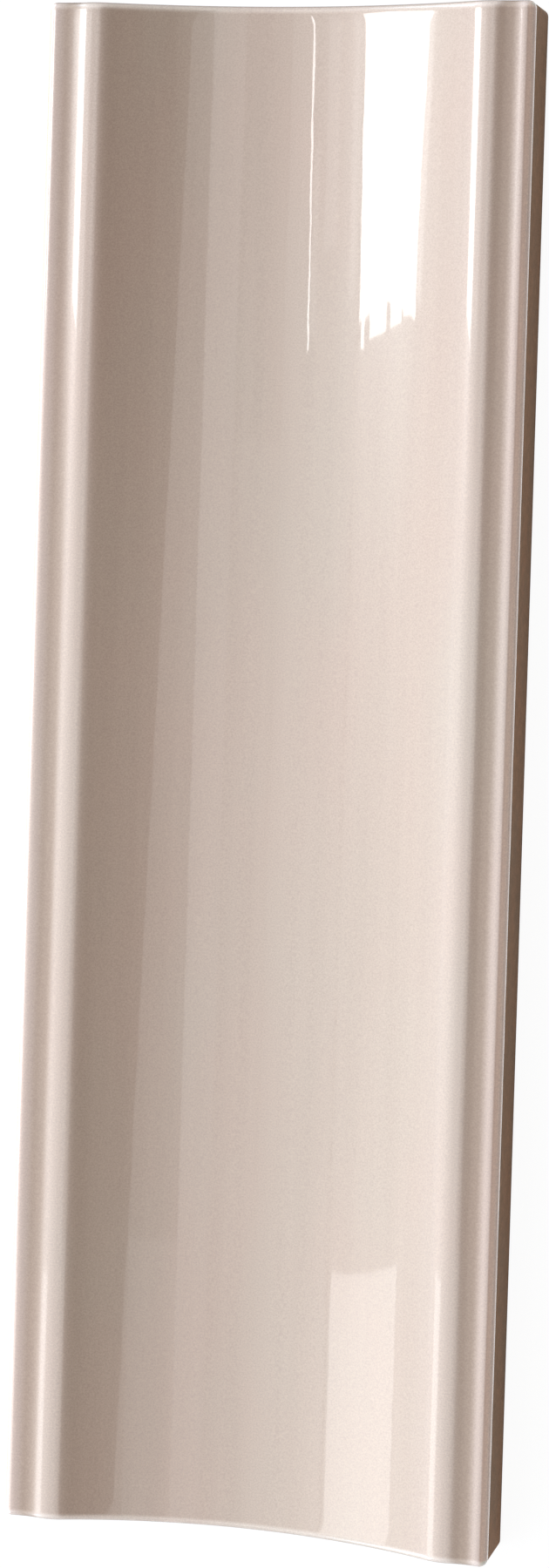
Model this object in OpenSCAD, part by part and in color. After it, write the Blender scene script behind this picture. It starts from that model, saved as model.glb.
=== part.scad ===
// Glazed cove tile: one pressed and fired strip whose face is a wide shallow cove between two narrow
// shoulders. It lies on its flat back, with X across it, Y along the cove and Z up out of the face.
// The origin is the centre of the back.

/* [Tile] */
// Length along the cove
tile_length = 200; // [60:5:400]
// Width across both shoulders
tile_width = 65; // [50:0.5:90]
// Thickness at the crests of the shoulders
tile_thickness = 10; // [9:0.5:16]

/* [Cove] */
// Depth of the cove below the crests
cove_depth = 5.2; // [2:0.1:6.5]
// Radius of the lip between the cove and a shoulder
lip_radius = 6; // [2:0.25:8]

/* [Shoulders] */
// Distance from the crest of a lip to the side of the tile
shoulder_width = 5.9; // [5.2:0.1:8]
// Depth of the hollow along the middle of a shoulder
hollow_depth = 0.3; // [0.15:0.05:0.4]
// Radius of the rim on the side of the hollow
rim_radius = 3; // [2:0.25:4]
// Radius of the outer edge, from the crest of the rim to the side
edge_radius = 1.1; // [1.05:0.05:2]

/* [Ends] */
// Radius along the face at both ends, and down the four upright corners
end_radius = 1; // [0.5:0.05:1]

/* [Hidden] */
$fn = 180;

half_length = tile_length / 2;
half_width = tile_width / 2;

// The face is a chain of arcs that run into each other without a corner: cove, lip, hollow, rim, edge.
// The joint of two arcs lies on the line through their centres. Rim and edge meet at their crest.
lip_x = half_width - shoulder_width;
lip_z = tile_thickness - lip_radius;
rim_x = half_width - edge_radius;
rim_z = tile_thickness - rim_radius;
edge_z = tile_thickness - edge_radius;

cove_radius = (lip_x ^ 2 + cove_depth ^ 2) / (2 * cove_depth) - lip_radius;
cove_z = tile_thickness - cove_depth + cove_radius;

// The hollow touches the lip on one side and the rim on the other.
crest_span = rim_x - lip_x;
hollow_run = (crest_span + 2 * hollow_depth * (lip_radius - rim_radius) / crest_span) / 2;
hollow_radius = (hollow_run ^ 2 + hollow_depth ^ 2) / (2 * hollow_depth) - lip_radius;
hollow_x = lip_x + hollow_run;
hollow_z = tile_thickness - hollow_depth + hollow_radius;

// Lean of the face off level at the three joints
cove_lean = atan2(lip_x, cove_z - lip_z);
inner_lean = atan2(hollow_run, hollow_z - lip_z);
outer_lean = atan2(crest_span - hollow_run, hollow_z - rim_z);

// Every hollow and side is let in by a hair, so that the round beside it crosses it along one clean
// line. The end rounds run out past the end plane by the same hair.
let_in = 0.01;
end_round_y = half_length - end_radius + let_in;

// A point of a round's surface, or depth below it, where the surface leans outwards by lean
function on_round(x, z, r, lean, depth = 0) = [x + (r - depth) * sin(lean), z + (r - depth) * cos(lean)];

// Half section of the body. Under a round it stays as deep as the end round reaches, and over a hollow
// it runs straight across.
half_section = [
    [half_width, 0],
    [half_width, edge_z],
    on_round(rim_x, edge_z, edge_radius, 90, end_radius),
    on_round(rim_x, edge_z, edge_radius, 0, end_radius),
    on_round(rim_x, rim_z, rim_radius, -outer_lean, end_radius),
    on_round(rim_x, rim_z, rim_radius, -outer_lean),
    on_round(lip_x, lip_z, lip_radius, inner_lean),
    on_round(lip_x, lip_z, lip_radius, inner_lean, end_radius),
    on_round(lip_x, lip_z, lip_radius, -cove_lean, end_radius),
    on_round(lip_x, lip_z, lip_radius, -cove_lean)
];

// Plan of the tile with its four upright corners rounded
module plan() {
    corner_x = half_width - let_in - end_radius;
    intersection() {
        square([tile_width, tile_length], center = true);
        union() {
            square([2 * (corner_x + end_radius), 2 * end_round_y], center = true);
            square([2 * corner_x, tile_length], center = true);
            for (side = [-1, 1], end = [-1, 1])
                translate([side * corner_x, end * end_round_y]) circle(end_radius);
        }
    }
}

module body() {
    intersection() {
        linear_extrude(tile_thickness) plan();
        rotate([90, 0, 0])
            linear_extrude(tile_length + end_radius, center = true)
                polygon([
                    each half_section,
                    for (k = [len(half_section) - 1:-1:0])
                        [-half_section[k][0], half_section[k][1]]
                ]);
    }
}

// Sector of a bar along Y through (x, z), rounded off at both ends. Its surface leans outwards from
// lean_in to lean_out.
module round_bar(x, z, r, lean_in, lean_out) {
    translate([x, 0, z])
        rotate([90, lean_out - 90, 0])
            rotate_extrude(angle = lean_out - lean_in)
                intersection() {
                    translate([0, -half_length]) square([r, tile_length]);
                    union() {
                        translate([0, -half_length]) square([r - end_radius, tile_length]);
                        translate([0, -end_round_y]) square([r, 2 * end_round_y]);
                        for (end = [-1, 1])
                            translate([r - end_radius, end * end_round_y])
                                intersection() {
                                    circle(end_radius);
                                    translate([0, -end_radius]) square(2 * end_radius);
                                }
                    }
                }
}

// What a hollow along Y takes away, flared at both ends to leave their edges round
module hollow_cut(x, z, r) {
    hollow_r = r + let_in;
    translate([x, 0, z])
        rotate([90, 0, 0])
            rotate_extrude()
                difference() {
                    union() {
                        translate([0, -tile_length]) square([hollow_r, 2 * tile_length]);
                        for (end = [-1, 1])
                            translate([0, end * (end_round_y + end_radius) - end_radius])
                                square([hollow_r + end_radius, 2 * end_radius]);
                    }
                    for (end = [-1, 1])
                        translate([hollow_r + end_radius, end * end_round_y]) circle(end_radius);
                }
}

// Each bar is wider than what shows of it. The lip stops under the crest of the rim.
module shoulder_rounds() {
    intersection() {
        round_bar(lip_x, lip_z, lip_radius, -90, 90);
        translate([0, -half_length, 0]) cube([rim_x, tile_length, tile_thickness]);
    }
    round_bar(rim_x, rim_z, rim_radius, -90, 0);
    round_bar(rim_x, edge_z, edge_radius, 0, 180);
}

module tile() {
    color([0.81, 0.73, 0.67]) {
        difference() {
            body();
            hollow_cut(0, cove_z, cove_radius);
            hollow_cut(hollow_x, hollow_z, hollow_radius);
            hollow_cut(-hollow_x, hollow_z, hollow_radius);
        }
        shoulder_rounds();
        mirror([1, 0, 0]) shoulder_rounds();
    }
}

tile();
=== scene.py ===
"""A glazed cove tile: a fired clay strip under a glossy greige glaze, lying on its back on a pale floor."""
import math

import bpy
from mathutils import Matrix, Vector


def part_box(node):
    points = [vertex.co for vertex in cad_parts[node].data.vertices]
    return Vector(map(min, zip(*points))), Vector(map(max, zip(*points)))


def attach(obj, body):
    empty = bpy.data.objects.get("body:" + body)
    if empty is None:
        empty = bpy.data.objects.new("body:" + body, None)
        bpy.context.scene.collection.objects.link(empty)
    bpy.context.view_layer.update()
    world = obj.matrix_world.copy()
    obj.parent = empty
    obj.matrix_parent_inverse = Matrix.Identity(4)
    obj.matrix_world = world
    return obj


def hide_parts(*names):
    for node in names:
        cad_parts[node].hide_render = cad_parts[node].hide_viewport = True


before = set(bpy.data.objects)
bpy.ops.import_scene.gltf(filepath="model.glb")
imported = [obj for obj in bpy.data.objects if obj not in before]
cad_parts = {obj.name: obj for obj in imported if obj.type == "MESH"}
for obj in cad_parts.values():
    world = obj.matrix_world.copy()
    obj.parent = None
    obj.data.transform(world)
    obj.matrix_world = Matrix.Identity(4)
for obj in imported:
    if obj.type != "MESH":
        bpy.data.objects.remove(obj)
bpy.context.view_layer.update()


# ---- The pressed blank ----------------------------------------------------------------------------
# Clay powder is pressed in a steel die to a strip with a wide shallow cove between two shoulders.
# Each shoulder has a round lip at the cove, a faint hollow, a soft rim a little lower than the lip and
# a tight outer edge, and the ends are rounded over. Clay and glaze both start as this blank.
MM = 0.001
half_width, half_length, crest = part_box("tile")[1]

cove_depth = 5.2 * MM
shoulder_width = 5.9 * MM
lip_radius = 6.0 * MM
hollow_depth = 0.33 * MM
rim_drop = 0.15 * MM
rim_radius = 3.0 * MM
edge_radius = 1.1 * MM
end_radius = 1.0 * MM
end_round_steps = 8
glaze_line = 8.6 * MM
rings_along = 80
hair = 0.001 * MM

lip_x, lip_z = half_width - shoulder_width, crest - lip_radius
rim_x, rim_crest = half_width - edge_radius, crest - rim_drop
rim_z, edge_z = rim_crest - rim_radius, rim_crest - edge_radius
cove_radius = (lip_x**2 + cove_depth**2) / (2 * cove_depth) - lip_radius
cove_z = crest - cove_depth + cove_radius

# The hollow's arc touches the lip and the rim, whose crest lies a little lower. So the run from the lip's
# crest to the bottom of the hollow is the smaller root of run_a * run**2 - 2 * run_b * run + run_c = 0.
rim_rise = hollow_depth - rim_drop
run_a = rim_drop / hollow_depth
run_b = rim_x - lip_x
run_c = run_b**2 + rim_rise**2 - rim_rise * hollow_depth + 2 * rim_rise * (lip_radius - rim_radius)
hollow_run = (run_b - math.sqrt(run_b**2 - run_a * run_c)) / run_a
hollow_radius = (hollow_run**2 + hollow_depth**2) / (2 * hollow_depth) - lip_radius
hollow_x, hollow_z = lip_x + hollow_run, crest - hollow_depth + hollow_radius

# Lean of the face off level where two arcs meet
cove_lean = math.atan2(lip_x, cove_z - lip_z)
inner_lean = math.atan2(hollow_run, hollow_z - lip_z)
outer_lean = math.atan2(rim_x - hollow_x, hollow_z - rim_z)


def pressed_strip(name, inset):
    """The strip with open ends, its face and sides lying inset under the fired tile's surface."""
    # One point in the middle of the cove, at one end
    bpy.ops.object.select_all(action="DESELECT")
    cove_floor = (0, -half_length + inset, crest - cove_depth - inset)
    bpy.ops.mesh.primitive_plane_add(size=MM, location=cove_floor)
    strip = bpy.context.object
    strip.name = strip.data.name = name
    bpy.ops.object.transform_apply(location=True, rotation=True, scale=True)
    bpy.ops.object.mode_set(mode="EDIT")
    bpy.ops.mesh.select_mode(type="VERT")
    bpy.ops.mesh.merge(type="CENTER")

    # It is spun through the cove, the lip, the hollow, the rim and the outer edge, each about its own
    # centre, then drawn down the side past the glaze line to the back, and in to the middle
    arcs = [
        (0, cove_z, -cove_lean, 24),
        (lip_x, lip_z, cove_lean + inner_lean, 20),
        (hollow_x, hollow_z, -inner_lean - outer_lean, 16),
        (rim_x, rim_z, outer_lean, 8),
        (rim_x, edge_z, math.pi / 2, 16),
    ]
    for x, z, turn, steps in arcs:
        bpy.ops.mesh.spin(steps=steps, angle=turn, center=(x, 0, z), axis=(0, -1, 0))
    for drop in (edge_z - glaze_line, glaze_line):
        bpy.ops.mesh.extrude_region_move(TRANSFORM_OT_translate={"value": (0, 0, -drop)})
    bpy.ops.mesh.extrude_region_move(TRANSFORM_OT_translate={"value": (inset - half_width, 0, 0)})

    # The half section is drawn out to the tile's length and mirrored
    bpy.ops.mesh.select_all(action="SELECT")
    ring_gap = 2 * (half_length - inset) / rings_along
    bpy.ops.mesh.extrude_repeat(steps=rings_along, offset=(0, ring_gap, 0))
    bpy.ops.object.mode_set(mode="OBJECT")
    mirror = strip.modifiers.new("other half", "MIRROR")
    mirror.merge_threshold = hair
    bpy.ops.object.modifier_apply(modifier=mirror.name)
    return strip


def select_where(kind, test):
    """In edit mode, selects only the edges or faces that pass the test."""
    bpy.ops.mesh.select_mode(type=kind)
    bpy.ops.mesh.select_all(action="DESELECT")
    bpy.ops.object.mode_set(mode="OBJECT")
    mesh = bpy.context.object.data
    if kind == "FACE":
        for face in mesh.polygons:
            face.select = test(face.center, face.normal)
    else:
        for edge in mesh.edges:
            edge.select = test(*(mesh.vertices[k].co for k in edge.vertices))
    bpy.ops.object.mode_set(mode="EDIT")


def close_ends(inset):
    """In edit mode, closes both ends and rounds them over from the face down to the back."""
    end_y = half_length - inset - hair
    for end in (-1, 1):
        select_where("EDGE", lambda a, b: min(a.y * end, b.y * end) > end_y)
        bpy.ops.mesh.edge_face_add()
    bpy.ops.mesh.select_all(action="SELECT")
    bpy.ops.mesh.normals_make_consistent(inside=False)
    select_where("EDGE", lambda a, b: abs(a.y + b.y) > 2 * end_y and max(a.z, b.z) > hair)
    reach = end_radius - inset
    bpy.ops.mesh.bevel(offset=reach, segments=end_round_steps, affect="EDGES", clamp_overlap=False)


# ---- Clay body ------------------------------------------------------------------------------------
# The fired brown clay. It stays bare on the long sides under the glaze, on both ends and on the flat
# back, which the tile is later bedded on. The press leaves a small arris around the back.
bare_step = 0.05 * MM
back_arris = 0.15 * MM
smooth_up_to = math.radians(40)

clay = pressed_strip("clay_body", bare_step)
bpy.ops.object.mode_set(mode="EDIT")
close_ends(bare_step)
select_where("FACE", lambda centre, normal: normal.z < -0.99)
bpy.ops.mesh.region_to_loop()
bpy.ops.mesh.bevel(offset=back_arris, segments=2, affect="EDGES")
bpy.ops.object.mode_set(mode="OBJECT")


def finish(name, roughness):
    """A new material with its shader, ready for the colour and the surface to be fed in."""
    material = bpy.data.materials.new(name)
    material.use_nodes = True
    shader = material.node_tree.nodes["Principled BSDF"]
    shader.inputs["Roughness"].default_value = roughness
    return material, shader


def feed(shader, socket, value):
    """Links a colour, an amount or a surface into one of the shader's sockets."""
    shader.id_data.links.new(value, shader.inputs[socket])


def clouds(material, size, detail=2):
    """A cloudy pattern from 0 to 1 whose blotches are about size, an (x, y, z), across."""
    nodes, links = material.node_tree.nodes, material.node_tree.links
    place = nodes.new("ShaderNodeTexCoord")
    stretch = nodes.new("ShaderNodeMapping")
    stretch.inputs["Scale"].default_value = [1 / length for length in size]
    noise = nodes.new("ShaderNodeTexNoise")
    noise.inputs["Scale"].default_value = 1
    noise.inputs["Detail"].default_value = detail
    links.new(place.outputs["Object"], stretch.inputs["Vector"])
    links.new(stretch.outputs["Vector"], noise.inputs["Vector"])
    return noise.outputs["Fac"]


def along(material, axis, start, end, both_ways=True):
    """An amount from 0 at the start to 1 at the end along an axis, alike both ways or one way only."""
    nodes, links = material.node_tree.nodes, material.node_tree.links
    place = nodes.new("ShaderNodeTexCoord")
    parts = nodes.new("ShaderNodeSeparateXYZ")
    links.new(place.outputs["Object"], parts.inputs["Vector"])
    distance = parts.outputs[axis]
    if both_ways:
        either_side = nodes.new("ShaderNodeMath")
        either_side.operation = "ABSOLUTE"
        links.new(distance, either_side.inputs[0])
        distance = either_side.outputs[0]
    span = nodes.new("ShaderNodeMapRange")
    span.interpolation_type = "SMOOTHSTEP"
    span.inputs["From Min"].default_value = start
    span.inputs["From Max"].default_value = end
    links.new(distance, span.inputs["Value"])
    return span.outputs["Result"]


def grey(level):
    """A tint that is the same in red, green and blue."""
    return (level, level, level)


def between(low_tint, high_tint, amount, low=0.3, high=0.7):
    """A colour that runs from one tint to the other as the amount goes from low to high."""
    ramp = amount.id_data.nodes.new("ShaderNodeValToRGB")
    ramp.color_ramp.elements[0].position = low
    ramp.color_ramp.elements[0].color = (*low_tint, 1)
    ramp.color_ramp.elements[1].position = high
    ramp.color_ramp.elements[1].color = (*high_tint, 1)
    amount.id_data.links.new(amount, ramp.inputs["Fac"])
    return ramp.outputs["Color"]


def times(colour, *others):
    """All the colours multiplied."""
    for other in others:
        product = colour.id_data.nodes.new("ShaderNodeVectorMath")
        product.operation = "MULTIPLY"
        product.id_data.links.new(colour, product.inputs[0])
        product.id_data.links.new(other, product.inputs[1])
        colour = product.outputs["Vector"]
    return colour


def relief(height, depth):
    """A surface raised by up to depth where the height pattern is 1."""
    bump = height.id_data.nodes.new("ShaderNodeBump")
    bump.inputs["Distance"].default_value = depth
    height.id_data.links.new(height, bump.inputs["Height"])
    return bump.outputs["Normal"]


# Reddish and olive blotches in the brown, a fine sandy grain, and a darker, bluer grey within about a
# millimetre of the back
clay_roughness = 0.85
clay_shine = 0.2
sand_depth = 0.06 * MM

clay_finish, clay_shader = finish("bare_fired_clay", clay_roughness)
spots = clouds(clay_finish, (1.2 * MM, 1.2 * MM, 1.2 * MM))
blotches = between((0.320, 0.196, 0.128), (0.410, 0.238, 0.150), spots)
areas = clouds(clay_finish, (9 * MM, 16 * MM, 6 * MM))
drift = between((0.90, 0.98, 1.0), (1.08, 1.02, 0.95), areas)
grains = clouds(clay_finish, (0.16 * MM, 0.16 * MM, 0.16 * MM), 3)
grain = between(grey(0.82), grey(1.18), grains)
# Darker and bluer grey towards the back
above_back = along(clay_finish, "Z", 0.0, 0.9 * MM)
near_back_darkening = between((0.62, 0.68, 0.74), grey(1), above_back, 0.0, 1.0)
feed(clay_shader, "Base Color", times(blotches, drift, grain, near_back_darkening))
sand = clouds(clay_finish, (0.2 * MM, 0.2 * MM, 0.2 * MM), 3)
feed(clay_shader, "Normal", relief(sand, sand_depth))
clay_shader.inputs["Specular IOR Level"].default_value = clay_shine

clay.data.materials.append(clay_finish)
bpy.ops.object.shade_smooth_by_angle(angle=smooth_up_to)
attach(clay, "root")
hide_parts("tile")


# ---- Glaze ----------------------------------------------------------------------------------------
# The glaze runs over the face and the rounded edges, and stops in a slightly wavy hem on the upright
# sides. It is fused to the clay, and stands a little proud of the bare clay beside that hem.
glaze_thickness = 0.08 * MM
hem_wave = 0.3 * MM
hem_wave_length = 3.5 * MM
hem_round = 0.03 * MM

# The back, both end faces and the sides below the glaze line come off. What is left open is the hem.
glaze = pressed_strip("glaze", 0)
bpy.ops.object.mode_set(mode="EDIT")
close_ends(0)
end_y = half_length - hair
select_where("FACE", lambda centre, normal: centre.z < hair or abs(centre.y) > end_y)
bpy.ops.mesh.delete(type="FACE")
select_where("FACE", lambda centre, normal: centre.z < glaze_line and abs(centre.x) > lip_x)
bpy.ops.mesh.delete(type="FACE")
bpy.ops.mesh.select_mode(type="VERT")
bpy.ops.mesh.select_all(action="DESELECT")
bpy.ops.mesh.select_non_manifold()
bpy.ops.object.vertex_group_add()
bpy.ops.object.vertex_group_assign()
bpy.ops.object.mode_set(mode="OBJECT")

# The hem runs down unevenly, and the sheet is given its thickness inwards and a soft edge
waves = bpy.data.textures.new("glaze hem", type="CLOUDS")
waves.noise_scale = hem_wave_length
waves.noise_depth = 2
hem = glaze.modifiers.new("hem", "DISPLACE")
hem.texture = waves
hem.texture_coords = "LOCAL"
hem.direction = "Z"
hem.mid_level = 0
hem.strength = -hem_wave
hem.vertex_group = glaze.vertex_groups[0].name
coat = glaze.modifiers.new("coat", "SOLIDIFY")
coat.thickness = glaze_thickness
coat.offset = -1
coat.use_even_offset = True
rounding = glaze.modifiers.new("rounding", "BEVEL")
rounding.width = hem_round
rounding.segments = 2
rounding.limit_method = "ANGLE"
rounding.angle_limit = math.radians(60)
for modifier in (hem, coat, rounding):
    bpy.ops.object.modifier_apply(modifier=modifier.name)


def tinted(tint, amount):
    """White where the amount is 0, running to the full tint where it is 1."""
    return between(grey(1), tint, amount, 0.0, 1.0)


# Pinkish and greyish clouds in the greige, painted shade that darkens it a little towards the far end,
# faint streaks where it ran down the tile, a fine speckle, and clay that shows brown where it draws thin
# over the ends
under_roughness = 0.25
glaze_finish, glaze_shader = finish("glossy_greige_glaze", under_roughness)
clouded = clouds(glaze_finish, (14 * MM, 40 * MM, 14 * MM), 3)
greige = between((0.570, 0.422, 0.339), (0.547, 0.432, 0.347), clouded)
to_far_end = along(glaze_finish, "Y", 0.0, half_length, both_ways=False)
# Painted shade: the glaze is darkened a little towards the far end
far_end_painted_shade = tinted((0.90, 0.88, 0.87), to_far_end)
runs = clouds(glaze_finish, (2.4 * MM, 70 * MM, 2.4 * MM))
streaks = between((0.975, 0.970, 0.965), grey(1.02), runs)
specks = clouds(glaze_finish, (0.2 * MM, 0.2 * MM, 0.2 * MM))
speckle = between((0.91, 0.885, 0.895), (1.09, 1.095, 1.085), specks)
over_end = along(glaze_finish, "Y", half_length - 0.42 * MM, half_length)
thin = between(grey(1), (0.26, 0.17, 0.13), over_end, 0.15, 0.9)
face_colour = times(greige, far_end_painted_shade, streaks, speckle, thin)

# Painted highlights make it paler and bluer over the lip, the rim, the outer edges and the ends, and
# painted shade makes it darker in the hollow
onto_lip = along(glaze_finish, "X", lip_x - 3.0 * MM, lip_x - 1.1 * MM)
lip_painted_highlight = tinted((1.14, 1.175, 1.22), onto_lip)
# Painted shade: darker and warmer down in the hollow
into_hollow = along(glaze_finish, "X", lip_x + 0.8 * MM, lip_x + 2.2 * MM)
hollow_painted_shade = tinted((0.66, 0.605, 0.555), into_hollow)
# Painted highlight: paler and bluer over the rim and the outer edge
onto_rim = along(glaze_finish, "X", rim_x - 1.8 * MM, rim_x - 0.2 * MM)
rim_painted_highlight = tinted((1.48, 1.57, 1.74), onto_rim)
onto_edge = along(glaze_finish, "X", rim_x, half_width - 0.3 * MM)
edge_painted_highlight = tinted((1.42, 1.30, 1.20), onto_edge)
# Painted highlight: a pale bluish band along the rounding of each end
onto_end = along(glaze_finish, "Y", half_length - 1.2 * MM, half_length - 0.6 * MM)
end_painted_highlight = tinted((1.40, 1.52, 1.62), onto_end)
glaze_colour = times(face_colour, lip_painted_highlight, hollow_painted_shade, rim_painted_highlight, edge_painted_highlight, end_painted_highlight)

# Where the painted highlights meet at the corners it gets no paler than this
painted_highlight_cap = glaze_finish.node_tree.nodes.new("ShaderNodeVectorMath")
painted_highlight_cap.operation = "MINIMUM"
painted_highlight_cap.inputs[1].default_value = (0.95, 0.88, 0.82)
glaze_finish.node_tree.links.new(glaze_colour, painted_highlight_cap.inputs[0])
feed(glaze_shader, "Base Color", painted_highlight_cap.outputs["Vector"])

# Its clear coat is sharply glossy on the cove, the lip and the rim, and duller and weaker in the hollow
cove_roughness = 0.02
hollow_roughness = 0.24
rim_roughness = 0.0192
hollow_coat = 0.3
rim_coat = 0.99
below_lip = along(glaze_finish, "X", lip_x + 1.2 * MM, lip_x + 1.7 * MM)
duller = between(grey(cove_roughness), grey(hollow_roughness), below_lip, 0.0, 1.0)
glossy_again = tinted(grey(rim_roughness / hollow_roughness), onto_rim)
feed(glaze_shader, "Coat Roughness", times(duller, glossy_again))
weaker = tinted(grey(hollow_coat), below_lip)
full_again = tinted(grey(rim_coat / hollow_coat), onto_rim)
feed(glaze_shader, "Coat Weight", times(weaker, full_again))

# The surface has the faint long ripple of a fired glaze
ripple_depth = 0.003 * MM
ripple = relief(clouds(glaze_finish, (2.2 * MM, 7 * MM, 2.2 * MM)), ripple_depth)
feed(glaze_shader, "Normal", ripple)
feed(glaze_shader, "Coat Normal", ripple)

glaze.data.materials.append(glaze_finish)
bpy.ops.object.shade_smooth_by_angle(angle=smooth_up_to)
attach(glaze, "root")


# ---- Floor ----------------------------------------------------------------------------------------
# A plain white table top. The eye and every mirror see it as white, and it takes a faint shadow of
# the tile. To all other light it is a matt off-white.
floor_size = 8.0
floor_drop = 0.02 * MM
white_strength = 0.95

bpy.ops.object.select_all(action="DESELECT")
bpy.ops.mesh.primitive_plane_add(size=floor_size, location=(0, 0, -floor_drop))
floor = bpy.context.object
floor.name = floor.data.name = "floor"


def seen_directly(tree):
    """1 for what the eye, a mirror or a clear pane looks at, and 0 for all other light."""
    path = tree.nodes.new("ShaderNodeLightPath")
    seen = path.outputs["Is Camera Ray"]
    for kind in ("Is Glossy Ray", "Is Transmission Ray"):
        either = tree.nodes.new("ShaderNodeMath")
        either.operation = "MAXIMUM"
        tree.links.new(seen, either.inputs[0])
        tree.links.new(path.outputs[kind], either.inputs[1])
        seen = either.outputs[0]
    return seen


def matt_surface(tree, level):
    """An even matt surface of one grey."""
    matt = tree.nodes.new("ShaderNodeBsdfDiffuse")
    matt.inputs["Color"].default_value = (*grey(level), 1)
    return matt.outputs["BSDF"]


table_top = bpy.data.materials.new("white_table_top")
table_top.use_nodes = True
tree = table_top.node_tree
tree.nodes.remove(tree.nodes["Principled BSDF"])
off_white = matt_surface(tree, 0.8)
shadowed = matt_surface(tree, 0.1)
white = tree.nodes.new("ShaderNodeEmission")
white.inputs["Strength"].default_value = white_strength
seen_white = tree.nodes.new("ShaderNodeAddShader")
surface = tree.nodes.new("ShaderNodeMixShader")
tree.links.new(shadowed, seen_white.inputs[0])
tree.links.new(white.outputs["Emission"], seen_white.inputs[1])
tree.links.new(seen_directly(tree), surface.inputs[0])
tree.links.new(off_white, surface.inputs[1])
tree.links.new(seen_white.outputs["Shader"], surface.inputs[2])
tree.links.new(surface.outputs["Shader"], tree.nodes["Material Output"].inputs["Surface"])
floor.data.materials.append(table_top)


# ---- Camera ---------------------------------------------------------------------------------------
# It looks down on the lying tile from a little to the right, with the tile's length up the picture.
# Its long lens is shifted down the picture, so that the camera needn't tip towards the near end.
camera_place = (0.1158, 0.0380, 0.4466)
camera_tilt = (-0.08, 14.81, 1.83)
lens_length = 80.14
lens_shift = -0.1728
nearest_seen = 0.01

bpy.ops.object.camera_add(location=camera_place, rotation=[math.radians(tilt) for tilt in camera_tilt])
camera = bpy.context.object
camera.name = camera.data.name = "camera"
camera.data.lens = lens_length
camera.data.shift_y = lens_shift
camera.data.clip_start = nearest_seen
bpy.context.scene.camera = camera
bpy.context.scene.view_settings.view_transform = "Standard"


# ---- Light ----------------------------------------------------------------------------------------
# A white studio with long soft panels over the tile's left side and its middle, and a weak low card on
# its right. They stand on a ring around the tile's length, all facing it. A brighter softbox with a
# frayed lower hem, a thin tube, faint strips and a pale card hang on the left.
ring = 1.5
room_end = 3.0
room_light = 0.02

world = bpy.data.worlds.new("studio")
world.use_nodes = True
bpy.context.scene.world = world
room = world.node_tree
ambient = room.nodes.new("ShaderNodeMath")
ambient.operation = "MAXIMUM"
ambient.inputs[1].default_value = room_light
room.links.new(seen_directly(room), ambient.inputs[0])
room.links.new(ambient.outputs[0], room.nodes["Background"].inputs["Strength"])
room.nodes["Background"].inputs["Color"].default_value = (1, 1, 1, 1)


def panel(name, lean, start, end, width, strength, across=0, turn=0):
    """A lamp on the ring, lean degrees right of overhead, reaching from start to end along Y.

    It can be slid across the ring, and turned in its own plane by some degrees.
    """
    tilt = math.radians(lean)
    x = ring * math.sin(tilt) + across * math.cos(tilt)
    z = ring * math.cos(tilt) - across * math.sin(tilt)
    bpy.ops.object.light_add(type="AREA", location=(x, (start + end) / 2, z), rotation=(0, tilt, 0))
    lamp = bpy.context.object
    lamp.name = lamp.data.name = name
    lamp.data.shape = "RECTANGLE"
    lamp.data.size, lamp.data.size_y = width, end - start
    lamp.data.energy = strength * width * (end - start) * math.pi
    lamp.rotation_euler.rotate_axis("Z", math.radians(-turn))
    return lamp


panel("low side light", -86, -room_end, room_end, 0.21, 3.6)
side_light = panel("side light", -67, -room_end, room_end, 0.52, 4.7)
side_light.data.color = (0.77, 0.96, 1.17)
panel("upper side light", -43, -room_end, room_end, 0.68, 1.15)
panel("overhead left", -22, -room_end, room_end, 0.42, 1.15)
panel("overhead middle", -9, -room_end, 0.06, 0.26, 0.8)
panel("overhead middle far end", -9, 0.06, room_end, 0.26, 0.55)
panel("overhead", -0.5, -room_end, room_end, 0.18, 1.1)
panel("overhead right", 8, -room_end, -0.39, 0.26, 0.5)
right_card = panel("low card on the right", 86, -room_end, room_end, 0.30, 1.2)
right_card.data.color = (1.0, 0.94, 0.88)

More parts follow.
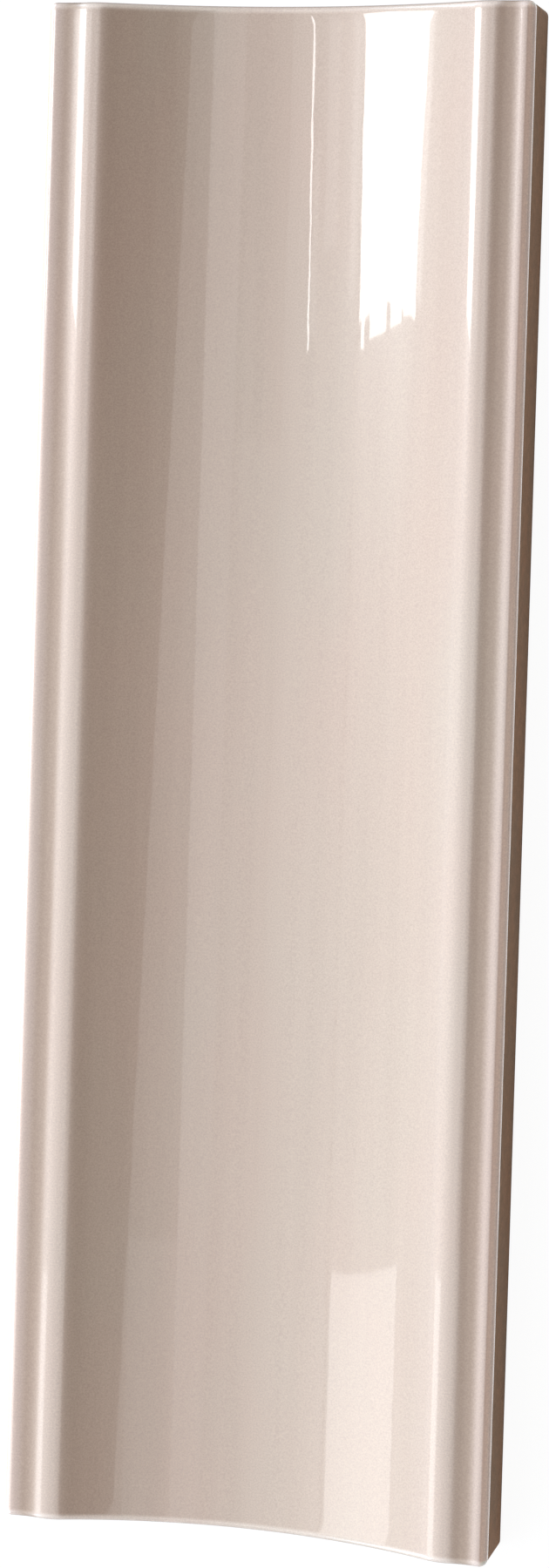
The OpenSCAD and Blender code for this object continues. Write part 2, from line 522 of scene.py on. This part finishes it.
softbox_lean = -36
softbox_strength = 10.5
softbox_top = 0.436
hem_top = 0.200
strip_top = 0.42
panel("softbox left half", softbox_lean, 0.136, softbox_top, 0.200, softbox_strength, 0.055, 5.2)
panel("softbox right half", softbox_lean, 0.136, softbox_top, 0.200, softbox_strength, -0.106, -3)
panel("softbox corner", softbox_lean, 0.190, softbox_top, 0.060, softbox_strength, -0.212, -18)
panel("softbox hem 1", softbox_lean, 0.113, hem_top, 0.020, softbox_strength, 0.119)
panel("softbox hem 2", softbox_lean, 0.121, hem_top, 0.100, softbox_strength, 0.028, 3)
panel("softbox hem 3", softbox_lean, 0.127, hem_top, 0.068, softbox_strength, -0.078, 3)
panel("softbox hem 4", softbox_lean, 0.133, hem_top, 0.071, softbox_strength, -0.163, 3)
panel("softbox side", softbox_lean, 0.140, softbox_top, 0.060, 2.5, -0.236, -14)
panel("thin tube", softbox_lean, 0.112, strip_top, 0.011, 11, 0.466, 6)
panel("faint strip 1", softbox_lean, 0.121, 0.230, 0.033, 0.9, 0.424, 4)
panel("faint strip 2", softbox_lean, 0.170, strip_top, 0.074, 0.8, 0.339, 4)
panel("faint strip 3", softbox_lean, 0.141, strip_top, 0.032, 0.8, 0.202, 4)
panel("lower card", softbox_lean, -0.80, -0.406, 0.406, 2.7, -0.070)


# ---- Flag -----------------------------------------------------------------------------------------
# A matt black card. It hangs over the tile's right side, a little askew, where it keeps the shaded half
# of the cove dark.
flag_lean = 22
flag_reach = 1.4
flag_turn = 13
flag_width = 0.58
flag_length = 3.0
cloth_black = 0.01

bpy.ops.object.select_all(action="DESELECT")
bpy.ops.mesh.primitive_plane_add(size=1)
flag = bpy.context.object
flag.name = flag.data.name = "black_flag"
bpy.ops.transform.resize(value=(flag_width, flag_length, 1))
bpy.ops.transform.translate(value=(0, 0, flag_reach))
bpy.ops.object.transform_apply(location=True, rotation=True, scale=True)
flag.rotation_euler = (0, math.radians(flag_lean), 0)
flag.rotation_euler.rotate_axis("Z", math.radians(flag_turn))
black, black_shader = finish("black_cloth", 1)
black_shader.inputs["Base Color"].default_value = (*grey(cloth_black), 1)
black_shader.inputs["Specular IOR Level"].default_value = 0
flag.data.materials.append(black)
